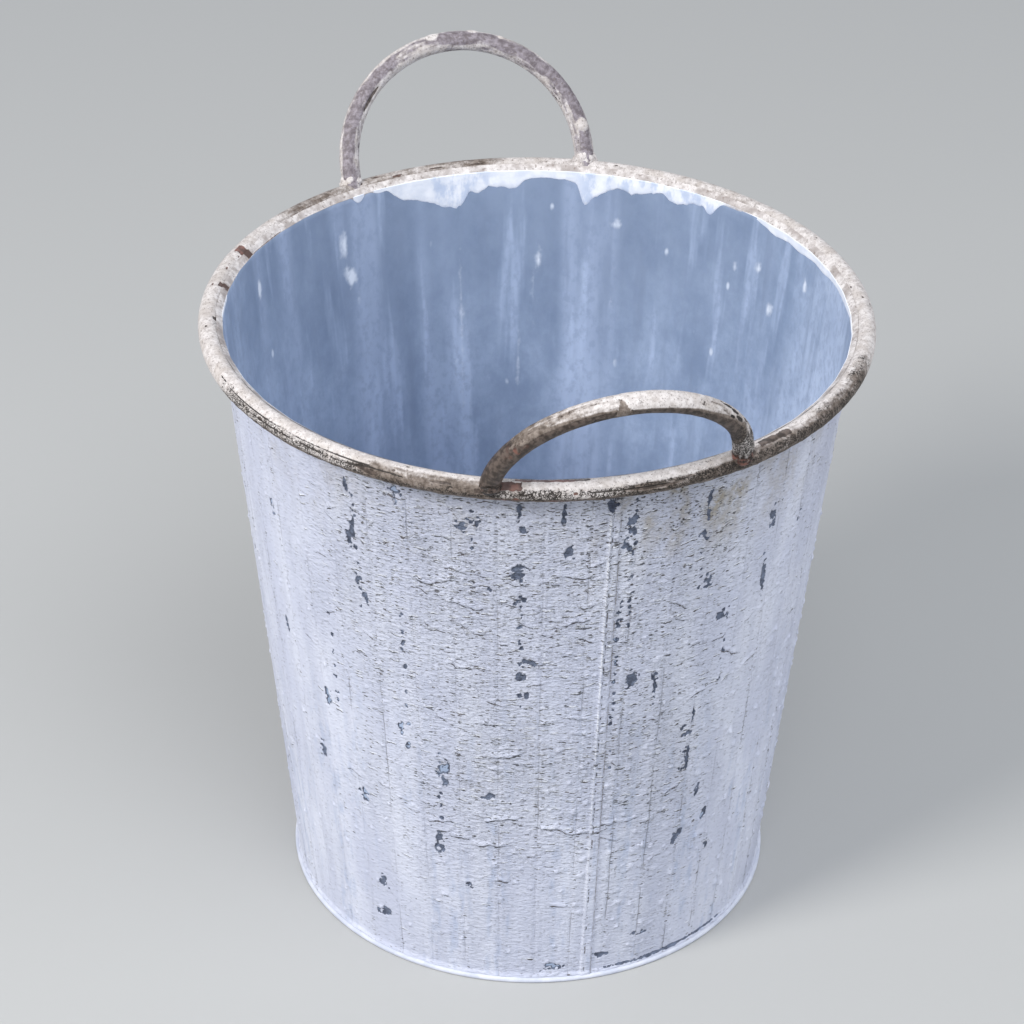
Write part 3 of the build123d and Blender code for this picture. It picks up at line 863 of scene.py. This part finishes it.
# ---------------------------------------------------------------- steel bar
class BarSkin:
    """A painted bar: a grid with the section's angle down the rows and the bar's length along the columns."""

    def __init__(self, centres, outward, along, closed, rows):
        self.centres, self.closed = centres, closed
        self.outward = outward
        self.side = np.cross(outward, along)
        self.angle = np.arange(rows) / rows * tau
        ends = np.linalg.norm(np.diff(centres, axis=0), axis=1) / MM
        self.length = np.concatenate([[0], np.cumsum(ends)])
        self.whole = self.length[-1] + (ends[-1] if closed else 0)
        self.S, self.F = np.meshgrid(self.length, self.angle)
        self.turned = (self.F + pi) % tau - pi         # the same angle, with 0 outwards in its middle
        c, s = np.cos(self.F)[..., None], np.sin(self.F)[..., None]
        self.way = c * self.outward[None] + s * self.side[None]
        self.place = self.centres[None] + bar * self.way
        self.paint = np.full(self.S.shape, 0.30)
        self.bare = np.full(self.S.shape, -1.0)
        self.crack = np.zeros(self.S.shape)
        self.network = np.full(self.S.shape, -1.0)
        self.grime_and_shade = np.zeros(self.S.shape)
        self.rust = np.zeros(self.S.shape)

    def steps(self, size, stretch):
        """The skin's place in steps of a noise, and how many steps go round the bar if it is a ring."""
        turns = round(self.whole / (size * stretch)) if self.closed else 0
        along = self.S / self.whole * turns if self.closed else self.S / (size * stretch)
        r = bar / MM / size
        return along, r * np.cos(self.F), r * np.sin(self.F), turns

    def noise(self, size, seed, octaves=2, stretch=1.0):
        """Noise over the skin: size mm round the section, stretch times as long along the bar."""
        x, y, z = (self.place / MM / size).transpose(2, 0, 1)
        if stretch == 1.0:
            return fbm(x, y, z, seed, 0, octaves)
        along, across, up, turns = self.steps(size, stretch)
        return fbm(along, across + 3, up + 3, seed, turns, octaves)

    def alligator(self, size, seed, stretch=1.6):
        """Small plates of paint: 1 along the cracks between them and 0 inside, and a number for each."""
        along, across, up, turns = self.steps(size, stretch)
        bend = 0.35 * self.noise(size * 0.8, seed + 5, 2)
        near, second, name = cells(along + bend, across + 5, up + 5 + bend, seed, turns)
        return step(0.20, 0.0, second - near), name

    def near(self, s, angle, long, wide):
        """A signed patch round a place on the skin: 1 in its middle, 0 at its edge; all in mm and radians."""
        ds = self.S - s
        if self.closed:
            ds = (ds + self.whole / 2) % self.whole - self.whole / 2
        df = (self.F - angle + pi) % tau - pi
        return 1 - np.sqrt((ds / long) ** 2 + (df * bar / MM / wide) ** 2)

    def strip(self, s_from, s_to, f_from, f_to, soft=0.8):
        """A signed patch with straight sides: 1 inside, falling to -1 outside over soft mm."""
        past = np.maximum(s_from - self.S, self.S - s_to)
        past = np.maximum(past, np.maximum(f_from - self.F, self.F - f_to) * bar / MM)
        return np.clip(-past / soft, -1, 1)

    def most(self, **fields):
        """Raises the fields named to these values wherever they are higher."""
        for key, values in fields.items():
            setattr(self, key, np.maximum(getattr(self, key), values))

    def build(self, name, material):
        height = self.paint - 0.30 * step(-0.15, 0.25, self.bare) - 0.22 * self.crack
        radius = bar + (height - 0.22) * MM
        points = self.centres[None] + radius[..., None] * self.way
        fields = {key: getattr(self, key) for key in ("bare", "crack", "network", "grime_and_shade", "rust")}
        return grid_piece(name, points, material, closed=(True, self.closed), fields=fields)


class RimSkin(BarSkin):
    """The skin of the bar round the top, where a section's quarter turn is straight up."""

    def __init__(self):
        azimuth = round_about(1796)
        c, s, o = np.cos(azimuth), np.sin(azimuth), np.zeros(azimuth.size)
        centres = np.stack([ring * c, ring * s, o + ring_z], -1)
        super().__init__(centres, np.stack([c, s, o], -1), np.stack([-s, c, o], -1), True, 46)
        self.degrees = np.degrees(np.broadcast_to(azimuth, self.S.shape))
        self.edge = self.turned + 0.25 * self.noise(9, 90, 2, 3.0)
        self.front = self.zone(-100, 62, 14)
        # The face towards a viewer in front
        self.lower = step(0.95, 0.45, self.edge) * step(-1.9, -1.2, self.turned)
        self.wear = self.noise(7, 91, 3, 2.2)
        self.streak = self.noise(1.3, 92, 3, 5.0)

    def zone(self, middle, half, soft=6.0):
        """1 within half a width of an azimuth, falling to 0; in degrees."""
        return step(half + soft, half, np.abs((self.degrees - middle + 180) % 360 - 180))

    def at(self, degrees):
        """The length along the rim at an azimuth."""
        return (radians(degrees) - SEAM_AZIMUTH) % tau / tau * self.whole

    def long_crack(self, middle, sway, size, seed, wide):
        """A crack that wanders along the bar."""
        return hill(self.turned - middle - sway * self.noise(size, seed, 2, 2.0), wide)


def rim_cracks(skin):
    """A network of cracks low on the front face, fading upwards, some elsewhere, and a few long cracks."""
    F, zone, wear = skin.turned, skin.zone, skin.wear
    plates, tone = skin.alligator(1.25, 81, 1.8)
    skin.paint += 0.06 * skin.noise(5, 93, 3) + 0.08 * skin.front * skin.lower * (tone - 0.5)
    dense = 1.25 * skin.front * step(1.15, 0.30, skin.edge) * step(-1.9, -1.2, F) + 0.30 * wear
    dense -= 0.55 * zone(-122, 8, 4) * step(-0.3, 0.1, F) + 0.25 * zone(-142, 8, 4) * step(0.3, 0.7, F)
    right = 0.75 * zone(-42, 12, 6) * step(-0.3, 0.3, F) * step(2.4, 1.6, F)
    dense = np.maximum(dense, right + 0.4 * wear)
    dense = np.maximum(dense, 0.55 * zone(-157, 8, 4) * step(1.4, 0.9, F) + 0.3 * wear)
    sparse = step(0.25, 0.7, skin.noise(6, 95, 2, 2.5)) * zone(-100, 95, 20)
    seen = step(-1.9, -1.2, F) * step(2.1, 1.6, F)
    skin.network = np.maximum((dense - 0.20) * seen, 0.45 * sparse * seen) - 0.20 - 0.6 * (1 - seen)
    skin.crack = 0.80 * plates * sparse * step(-0.2, 0.3, wear)
    skin.most(crack=skin.long_crack(0.72, 0.18, 18, 97, 0.085) * zone(-150, 18, 4))
    skin.most(crack=skin.long_crack(0.30, 0.16, 12, 98, 0.10) * zone(-146, 10, 6) * step(-0.4, 0.1, wear))
    skin.most(crack=skin.long_crack(0.30, 0.15, 14, 99, 0.07) * zone(-82, 12, 4))
    skin.most(crack=skin.long_crack(0.45, 0.10, 14, 101, 0.09) * zone(-130, 4, 2))


def rim_grime_and_shade(skin):
    """Grime and thin paint: brown where the bar has been handled, with painted shade under the bar at the
    front.
    """
    F, zone, front = skin.turned, skin.zone, skin.front
    grime_and_shade = 0.16 + 0.26 * skin.wear + 0.26 * skin.streak + 0.20 * front * skin.lower
    grime_and_shade += 0.55 * zone(-122, 8, 6) * step(-0.6, 0.0, F) * step(1.45, 1.0, F)
    grime_and_shade += 0.35 * zone(-79, 9, 5) * skin.lower + 0.50 * zone(-52, 14, 16) * step(1.9, 1.0, F)
    grime_and_shade += 0.48 * zone(108, 18, 12) + 0.18 * zone(60, 25, 10)
    grime_and_shade -= 0.30 * zone(-89, 18, 4) * step(0.55, 0.95, F) + 0.20 * zone(-150, 14, 6) * step(0.4, 0.7, F)
    # Darker on the bar's inner side; darker under the bar at the front, which is painted shade
    grime_and_shade += 0.25 * step(2.2, 2.7, np.abs(F)) + 0.80 * front * step(-0.10, -0.6, F) * step(-1.9, -1.4, F)
    skin.grime_and_shade = grime_and_shade


# Bare patches on the rim: (first azimuth, last azimuth, lowest and highest angle round the section)
RIM_PATCHES = [
    (-110.5, -106.1, 0.50, 1.45), (-107.5, -95.0, 1.50, 2.2), (-64.6, -57.5, 0.95, 1.75),
    (-113.6, -111.0, 0.0, 0.5), (144.6, 147.0, 1.3, 2.9), (158.0, 159.7, 1.9, 2.7), (170.6, 171.8, 2.0, 2.6),
    (-67.5, -66.0, 0.5, 1.3),
]
# Bare spots on the rim: (azimuth, angle round the section, half length, half width)
RIM_SPOTS = [
    (-132.5, 0.35, 2.5, 1.2), (-131, 0.1, 3.0, 1.2), (-155.0, 0.35, 1.6, 0.8), (-119.0, 0.6, 4.0, 0.5),
    (-85.0, 0.15, 9.0, 0.6), (112.0, 1.9, 1.5, 0.8), (108.0, 1.6, 2.0, 0.6), (104.0, 2.1, 2.5, 0.5),
    (96.0, 2.0, 4.0, 0.4), (88.0, 2.1, 3.0, 0.4),
]


def rim_steel(skin):
    """Where the bar is bare, partly as painted shade under the front, and where that is rusty."""
    zone, front, wear = skin.zone, skin.front, skin.wear
    # Bare steel under the bar at the front: partly wear, partly painted shade
    under = 0.62 * front * step(-0.2, -0.7, skin.turned) - 0.45 + 0.5 * skin.streak
    lost = 0.45 * wear + 0.55 * skin.noise(1.6, 103, 2, 2.5) - 0.80 + 0.25 * front * skin.lower
    skin.bare = np.maximum(np.maximum(lost, under), -1)
    draw = np.random.default_rng(31)
    for _ in range(34):
        place, angle = draw.uniform(0, skin.whole), draw.uniform(-0.6, 2.2)
        skin.most(bare=skin.near(place, angle, draw.uniform(0.6, 1.6), draw.uniform(0.3, 0.8)))
    ragged = 0.55 * skin.noise(1.6, 107, 2) + 0.8 * skin.noise(4.5, 108, 2)
    for begins, ends, low, high in RIM_PATCHES:
        skin.most(bare=skin.strip(skin.at(begins), skin.at(ends), low, high) + ragged)
    for place, angle, long, wide in RIM_SPOTS:
        skin.most(bare=1.1 * skin.near(skin.at(place), angle, long * 1.3, wide * 1.3))
    skin.network = np.where(skin.bare > 0, -1, skin.network)
    worn = np.maximum(zone(-61, 5, 2), zone(-40, 8, 3) * step(0.2, 0.6, wear))
    red = zone(-104, 5, 3) + zone(144, 8) + 0.5 * zone(158, 5) + 0.4 * zone(108, 8)
    skin.rust = np.clip(red - worn, 0, 1)


def rim(material):
    """The bar round the top."""
    skin = RimSkin()
    rim_cracks(skin)
    rim_grime_and_shade(skin)
    rim_steel(skin)
    piece = skin.build("rim_bar", material)
    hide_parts("rim_ring")


def loop_line(node, sign, count):
    """The centre line of a handle, from its foot at -X over the top to its foot at +X."""
    low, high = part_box(node)
    half = (high.x - low.x) / 2 - bar
    chord = sqrt(ring**2 - half**2)
    rise = high.z - bar - ring_z
    run = abs(low.y if sign < 0 else high.y) - bar - chord
    leg = hypot(rise, run) - half
    up = Vector((0, sign * run, rise)).normalized()
    foot_at = Vector((0, sign * chord, ring_z))
    total = 2 * leg + pi * half
    points, outward, along = [], [], []
    for s in np.linspace(0, total, count):
        if s < leg:
            p, n, t = up * s - Vector((half, 0, 0)), Vector((-1, 0, 0)), up
        elif s > total - leg:
            p, n, t = up * (total - s) + Vector((half, 0, 0)), Vector((1, 0, 0)), -up
        else:
            turn = (s - leg) / half
            n = Vector((-cos(turn), 0, 0)) + up * sin(turn)
            t = Vector((sin(turn), 0, 0)) + up * cos(turn)
            p = up * leg + n * half
        points.append(foot_at + p)
        outward.append(n)
        along.append(t)
    return [np.array(v) for v in (points, outward, along)]


# Chips on the front handle: (share of the length, angle round the section, half length, half width)
HANDLE_CHIPS = [
    (0.74, 0.3, 3.0, 0.8), (0.765, 0.05, 2.4, 1.0), (0.785, -0.4, 2.6, 0.8), (0.80, 0.35, 1.8, 0.7),
    (0.755, -0.6, 1.6, 0.6), (0.88, -0.2, 6.0, 0.7), (0.72, 0.5, 1.3, 0.6), (0.82, 0.1, 2.6, 0.7),
    (0.04, -1.2, 2.0, 1.2),
]


def flake_and_notch(skin):
    """Left of the middle a smooth white flake starts, with a three-cornered bare spot before it."""
    turned = skin.turned
    from_spot = skin.S - 0.464 * skin.whole
    down = np.clip((0.35 - turned) / 1.7, 0, 1) * step(-1.9, -1.5, turned)
    ragged = 0.35 * skin.noise(1.5, 119, 2)
    notch = step(0.0, 0.5, from_spot + 3.0 * down + ragged) * step(0.0, 0.5, 4.2 * down - from_spot + ragged)
    flake = step(0.0, 0.6, from_spot - 4.2 * down + ragged) * step(38, 16, from_spot)
    return flake * step(-1.4, -0.9, turned) * step(1.9, 1.5, turned), notch * step(0.0, 0.05, down)


def front_handle(material):
    """The handle in front, its right foot cracked and rusty."""
    skin = BarSkin(*loop_line("handle_front", -1, 420), False, 56)
    share = skin.S / skin.whole                          # 0 at the left foot, 1 at the right
    up = skin.way[..., 2]
    wear = skin.noise(8, 111, 3, 1.8)
    plates = skin.alligator(1.2, 113, 1.8)[0]
    skin.paint += 0.09 * skin.noise(4, 115, 3)
    facing = up - 0.35 * skin.way[..., 1]

    # Cream above; below, grime and bare brown steel on the side turned down and away from the front, which is
    # painted shade; brown steel along the left leg
    streak = skin.noise(1.3, 116, 3, 5.0)
    shadow = facing + 0.22 * wear + 0.10 * streak
    shadow = shadow + 0.20 * step(0.40, 0.60, share) + 0.9 * step(0.80, 0.90, share)
    left = share + 0.05 * wear
    skin.grime_and_shade = 0.34 + 0.22 * wear + 0.50 * streak
    # Painted shade: grime where the bar turns away from the light
    skin.grime_and_shade += 1.10 * step(0.78, 0.45, shadow) * step(0.75, 0.55, facing)
    skin.grime_and_shade += 1.15 * step(0.30, 0.20, left) + 0.30 * step(0.45, 0.30, left)
    skin.grime_and_shade -= 0.30 * step(0.44, 0.47, share) * step(0.72, 0.62, share) * step(0.3, 0.6, facing)
    # Painted shade: bare brown steel where the bar turns away from the light
    skin.bare = 1.05 * step(0.66, 0.20, shadow) * step(0.7, 0.4, facing) - 0.25
    skin.most(bare=0.75 * step(0.28, 0.17, left) - 0.18 + 0.55 * streak)
    skin.most(bare=0.4 * wear + 0.5 * skin.noise(1.6, 117, 2, 2.0) - 0.70)
    flake, notch = flake_and_notch(skin)
    skin.grime_and_shade = (skin.grime_and_shade - 0.3 * flake) * (1 - 0.6 * flake)
    skin.grime_and_shade = np.maximum(skin.grime_and_shade * (1 - notch), 0.80 * notch)
    skin.paint += 0.20 * flake - 0.15 * notch
    skin.bare = np.where((notch > 0.5) | (flake > 0.5), -0.6, skin.bare)
    chips = np.full(skin.S.shape, -1.0)
    for at, angle, long, wide in HANDLE_CHIPS:
        chips = np.maximum(chips, 1.2 * skin.near(at * skin.whole, angle, long * 1.2, wide * 1.2))
    skin.most(bare=chips)
    feet = np.maximum(step(0.055, 0.02, share), step(0.930, 0.965, share))
    cracked = step(0.74, 0.86, share) + 0.5 * step(0.1, 0.5, wear) + 0.3 * step(0.4, 0.0, facing)
    skin.network = np.where(notch > 0.5, -1, cracked - 0.45 + 0.3 * wear)
    skin.crack = np.maximum(0.8 * plates * step(0.84, 0.90, share), 0.9 * feet * step(-0.1, 0.5, wear + 0.3))
    skin.most(crack=0.9 * step(-0.2, 0.4, chips))
    skin.most(crack=0.70 * hill(notch - 0.30, 0.20) * step(0.02, 0.08, notch))
    skin.most(bare=0.85 * step(0.925, 0.965, share) - 0.30 + 0.6 * streak)
    skin.rust = np.clip(1.2 * feet, 0, 1) * step(0.5, 0.6, share)
    spots = step(0.1, 0.4, skin.noise(2.6, 121)) * hill(share - 0.20, 0.025)
    skin.most(rust=spots)
    piece = skin.build("handle_front_bar", material)
    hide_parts("handle_front")


def rear_handle(material):
    skin = BarSkin(*loop_line("handle_rear", 1, 420), False, 56)
    share = skin.S / skin.whole
    wear = skin.noise(8, 131, 3, 2.2)
    skin.paint += 0.12 * skin.noise(4, 133, 3)
    streak = skin.noise(1.4, 136, 3, 6.0)
    band = np.exp(-(((skin.F - 4.95 - 0.3 * skin.noise(20, 135, 2, 2)) / 0.70) ** 4))
    cream = step(0.25, 0.30, share) * step(0.470, 0.462, share)
    cream = cream * step(-0.5, 0.3, skin.noise(6, 137, 2, 3))
    skin.grime_and_shade = 0.40 + 0.20 * wear + 0.55 * streak + 0.62 * band - 0.50 * cream
    skin.bare = 0.35 * wear + 0.45 * streak - 0.80
    skin.most(bare=1.2 * skin.near(0.235 * skin.whole, 4.1, 9.0, 1.0))
    plates = skin.alligator(1.8, 139)[0]
    skin.crack = plates * step(0.1, 0.6, wear) * 0.7
    # Lumps of white paint: (share of the length, angle round the section, half length, height)
    lumps = [(0.895, 4.9, 4.2, 1.1), (0.545, 5.9, 3.0, 0.45), (0.61, 5.6, 2.0, 0.5), (0.45, 5.6, 4.0, 0.35)]
    for at, angle, size, tall in lumps:
        lump = step(0, 0.6, skin.near(at * skin.whole, angle, size, size * 0.9))
        skin.paint += tall * lump
        skin.grime_and_shade = skin.grime_and_shade * (1 - lump) - 0.3 * lump
        skin.bare = np.where(lump > 0.05, -1, skin.bare)
        skin.crack *= 1 - lump
    skin.rust = np.clip(0.7 * step(0.3, 0.7, skin.noise(9, 141)), 0, 1)
    piece = skin.build("handle_rear_bar", material)
    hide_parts("handle_rear")


# The welds: (node, size in mm, seed, how white, how black, how rusty)
WELDS = [
    ("weld_front_left", 4.9, 3, -0.05, 0.3, 0.1), ("weld_front_right", 5.0, 5, 0.0, 0.25, 1.0),
    ("weld_rear_left", 6.0, 8, 0.95, -0.4, 0.2), ("weld_rear_right", 6.2, 11, 1.0, -0.4, 0.2),
]


def weld(node, size, seed, white, black, rust, material):
    """A lump of weld where a handle's foot meets the rim."""
    name = node + "_lump"
    low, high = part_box(node)
    middle = (low + high) / 2
    shape = bmesh.new()
    bmesh.ops.create_icosphere(shape, subdivisions=5, radius=1.0)
    ways = np.array([v.co for v in shape.verts])
    bumps = 0.16 * fbm(*(ways * 1.6 + seed).T, seed=seed, octaves=3)
    lean = Vector((0, middle.y, 0)).normalized() * 0.8 * MM
    for v, b, w in zip(shape.verts, bumps, ways):
        reach = size * (1 + b) * (0.86 if w[2] > 0 else 0.95)
        v.co = middle + lean + Vector(w) * reach
    mesh = bpy.data.meshes.new(name)
    shape.to_mesh(mesh)
    shape.free()
    n = len(mesh.vertices)
    tint = 0.9 * fbm(*(ways * 2.2 + seed).T, seed=seed + 3, octaves=2)
    dark = step(0.1, 0.4, black + 0.4 * tint)
    values = {
        "bare": 0.42 - white + tint, "crack": 0.85 * dark, "network": np.full(n, -0.6),
        "grime_and_shade": np.full(n, 0.8 - 0.6 * white), "rust": np.full(n, rust),
    }
    add_fields(mesh, values)
    mesh.polygons.foreach_set("use_smooth", np.ones(len(mesh.polygons), bool))
    mesh.materials.append(material)
    piece = bpy.data.objects.new(name, mesh)
    bpy.context.collection.objects.link(piece)
    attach(piece, "root")
    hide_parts(node)


# ---------------------------------------------------------------- base
def foot_ring():
    """The folded seam that the bucket stands on, painted with the wall."""
    cols = FLATS * 12
    azimuth = round_about(cols)
    top = foot_top / MM
    # The fold's section, over its top and round to the underside: (distance outwards from the foot, height)
    profile = [
        (-4.5, top + 0.10), (-3.6, top + 0.12), (-2.4, top + 0.05), (-1.3, top), (-0.55, top - 0.12),
        (-0.18, top - 0.45), (-0.05, top - 0.9), (0.0, top * 0.5), (-0.05, 0.75), (-0.18, 0.38), (-0.5, 0.12),
        (-0.95, 0.02), (-1.6, 0.0), (-2.6, 0.02), (-3.2, 0.35), (-3.3, 0.8), (-3.6, 0.9), (-5.0, 0.9),
    ]
    A, _ = np.meshgrid(azimuth, np.zeros(len(profile)))
    out = np.array([p[0] for p in profile])[:, None]
    z = np.array([p[1] for p in profile])[:, None] + 0 * A
    lumps = round_noise(A, z, 7, 3, 151, 3)
    exposed = step(-3.0, -1.5, out) * step(0.3, 0.9, z)
    radius = foot + (out + 0.16 * lumps * exposed - 0.15) * MM
    z = z + 0.12 * round_noise(A, z + 50, 9, 3, 153, 2) * exposed * step(1.0, 1.8, z)
    points = polar(radius, A, z)
    chip = 0.6 * round_noise(A, z, 9, 2.0, 155, 3) - 0.60
    piece = grid_piece("foot_ring", points, foot_paint(), (False, True), {"chip": chip}, flip=True)
    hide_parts("base_pan")


def base_floor():
    """The bottom sheet, bare zinc on both faces, slightly dished."""
    cols = FLATS * 6
    azimuth = round_about(cols)
    edge = (foot - 4.2 * MM) / MM
    radii = np.linspace(0.4, edge, 46)
    rows = [(r, 0.9) for r in radii] + [(edge + 0.3, 0.65), (edge + 0.3, 0.45)]
    rows += [(r, 0.2) for r in radii[::-1]]
    A, R = np.meshgrid(azimuth, [r[0] for r in rows])
    z = np.array([r[1] for r in rows])[:, None] + 0 * A
    dents = fbm(R * np.cos(A) / 45, R * np.sin(A) / 45, 0.5, 161, 0, 2)
    z = z + 0.35 + (0.35 + 0.25 * dents) * step(edge, edge - 12, R)
    points = polar(R * MM, A, z)
    piece = grid_piece("base_floor_zinc", points, bpy.data.materials["bare_zinc"], (True, True), flip=True)
    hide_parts("base_pan")


# ---------------------------------------------------------------- stage
def floor():
    """A plain pale floor."""
    bpy.ops.mesh.primitive_plane_add(size=8, location=(0, 0, 0))
    plane = bpy.context.object
    plane.name = "floor"
    s = Shader("floor", Roughness=0.9, Specular_IOR_Level=0.2)
    s.surface.inputs["Base Color"].default_value = (0.46, 0.46, 0.45, 1)
    plane.data.materials.append(s.material)


def area_light(name, place, size, power, colour):
    """A round soft light turned towards the middle of the bucket."""
    data = bpy.data.lights.new(name, "AREA")
    data.shape, data.size, data.energy, data.color = "DISK", size, power, colour
    light = bpy.data.objects.new(name, data)
    light.location = place
    light.rotation_euler = (Vector((0, 0, 0.15)) - Vector(place)).to_track_quat("-Z", "Y").to_euler()
    bpy.context.collection.objects.link(light)


def lights():
    area_light("key", (-2.0, -0.9, 1.9), 0.9, 58, (1.0, 0.985, 0.96))
    area_light("front", (0.2, -1.5, 2.5), 1.5, 30, (0.94, 0.97, 1.0))
    area_light("fill", (2.0, -1.2, 1.2), 1.2, 11, (0.96, 0.98, 1.0))
    world = bpy.data.worlds.new("sky")
    world.use_nodes = True
    world.node_tree.nodes["Background"].inputs["Color"].default_value = (0.86, 0.91, 1.0, 1)
    world.node_tree.nodes["Background"].inputs["Strength"].default_value = 0.62
    bpy.context.scene.world = world


def camera():
    """A view from the front, a little from the left and from above."""
    data = bpy.data.cameras.new("camera")
    data.lens, data.sensor_width = 119.5, 36
    view = bpy.data.objects.new("camera", data)
    place, aim, roll = Vector((-0.318, -1.256, 1.014)), Vector((-0.0055, 0.0188, 0.1717)), radians(0.77)
    ahead = (aim - place).normalized()
    right = ahead.cross(Vector((0, 0, 1))).normalized()
    up = right.cross(ahead)
    right, up = right * cos(roll) + up * sin(roll), up * cos(roll) - right * sin(roll)
    view.matrix_world = Matrix((right, up, -ahead)).transposed().to_4x4()
    view.location = place
    bpy.context.collection.objects.link(view)
    bpy.context.scene.camera = view


wall_zinc()
wall_film()
overrun()
paint = bar_paint("bar_paint", (0.25, 0.205, 0.175), (0.085, 0.062, 0.048))
rim(paint)
front_handle(paint)
rear_handle(bar_paint("bar_paint_lilac", (0.30, 0.265, 0.290), (0.130, 0.108, 0.118)))
for node, size, seed, white, black, rust in WELDS:
    weld(node, size * MM, seed, white, black, rust, paint)
foot_ring()
base_floor()
floor()
lights()
camera()
bpy.context.scene.view_settings.view_transform = "Standard"
